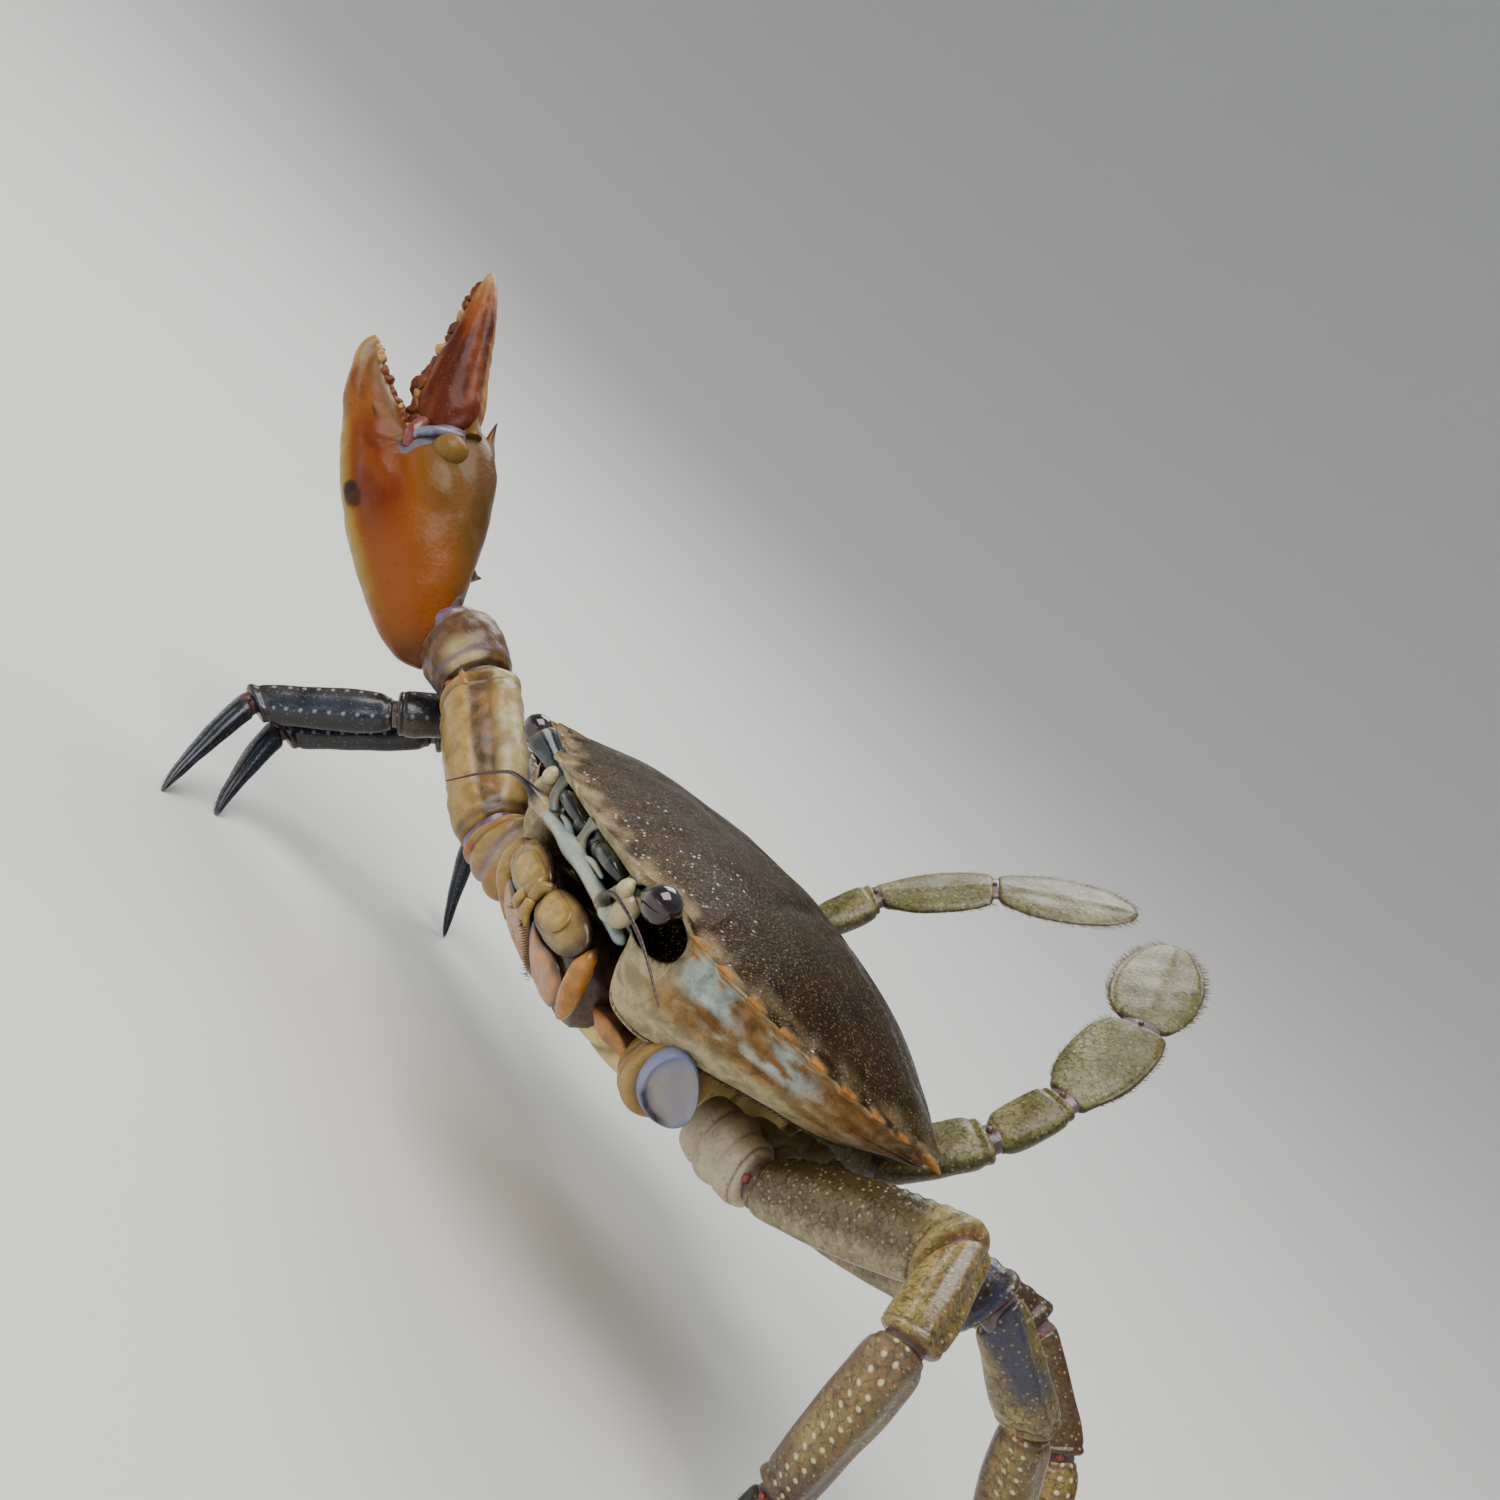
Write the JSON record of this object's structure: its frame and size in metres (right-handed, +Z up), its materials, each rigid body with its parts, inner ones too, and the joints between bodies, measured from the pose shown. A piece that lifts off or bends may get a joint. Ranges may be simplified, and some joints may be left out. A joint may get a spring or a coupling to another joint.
{
  "type": "giant mud crab",
  "caption": "Life-size still model of a giant mud crab with a wide toothed shell, standing on its walking legs, one large open claw raised and the other claw missing.",
  "frame": {"origin": "middle of the whole model's footprint at floor level, under the body", "axes": "+X to the crab's left side, -Y to its front, +Z up"},
  "size_m": [0.3034, 0.1982, 0.1493],
  "materials": {
    "shell": "wet dark olive-brown carapace, finely speckled, paler along its front edge",
    "belly": "cream and ochre breastplate and folded tail, slightly glossy",
    "mouth_frame": "pale blue-white ridge round dark green-black feeler sockets",
    "mouth_lid": "olive-yellow and orange mouthparts with dark brown borders",
    "eye": "dark blue-green stalk with a glossy purple-brown cornea",
    "feeler": "brown-black banded feelers",
    "claw_arm": "cream, ochre and brown-purple arm with lilac joint skin",
    "claw_hand": "deep orange claw fading to ochre and olive, wet sheen",
    "claw_finger": "maroon and orange moving finger with rough brown teeth and a cream tip",
    "stump": "grey-white scar disc with a lilac rim",
    "leg": "olive-brown legs with a dark net pattern and rows of cream dots",
    "toe": "slate-black toes with short bristles"
  },
  "bodies": {
    "root": {"shell": "shell", "chest": "belly", "tail_flap": "belly", "mouth_frame": "mouth_frame", "mouth_lid_left": "mouth_lid", "mouth_lid_right": "mouth_lid", "eye_left": "eye", "eye_right": "eye", "feeler_left": "feeler", "feeler_right": "feeler", "small_feeler_left": "feeler", "small_feeler_right": "feeler", "claw_base": "claw_arm", "claw_arm": "claw_arm", "claw_cuff": "claw_arm", "claw_hand": "claw_hand", "claw_fixed_finger": "claw_hand", "claw_finger": "claw_finger", "lost_claw_base": "claw_arm", "lost_claw_stump": "stump", "walking_leg_1_left_base": "leg", "walking_leg_1_left_arm": "leg", "walking_leg_1_left_cuff": "leg", "walking_leg_1_left_shin": "leg", "walking_leg_1_left_toe": "toe", "walking_leg_2_left_base": "leg", "walking_leg_2_left_arm": "leg", "walking_leg_2_left_cuff": "leg", "walking_leg_2_left_shin": "leg", "walking_leg_2_left_toe": "toe", "walking_leg_3_left_base": "leg", "walking_leg_3_left_arm": "leg", "walking_leg_3_left_cuff": "leg", "walking_leg_3_left_shin": "leg", "walking_leg_3_left_toe": "toe", "walking_leg_1_right_base": "leg", "walking_leg_1_right_arm": "leg", "walking_leg_1_right_cuff": "leg", "walking_leg_1_right_shin": "leg", "walking_leg_1_right_toe": "toe", "walking_leg_2_right_base": "leg", "walking_leg_2_right_arm": "leg", "walking_leg_2_right_cuff": "leg", "walking_leg_2_right_shin": "leg", "walking_leg_2_right_toe": "toe", "walking_leg_3_right_base": "leg", "walking_leg_3_right_arm": "leg", "walking_leg_3_right_cuff": "leg", "walking_leg_3_right_shin": "leg", "walking_leg_3_right_toe": "toe", "swimming_leg_left_base": "leg", "swimming_leg_left_arm": "leg", "swimming_leg_left_cuff": "leg", "swimming_leg_left_blade": "leg", "swimming_leg_left_paddle": "leg", "swimming_leg_right_base": "leg", "swimming_leg_right_arm": "leg", "swimming_leg_right_cuff": "leg", "swimming_leg_right_blade": "leg", "swimming_leg_right_paddle": "leg"}
  },
  "joints": []
}
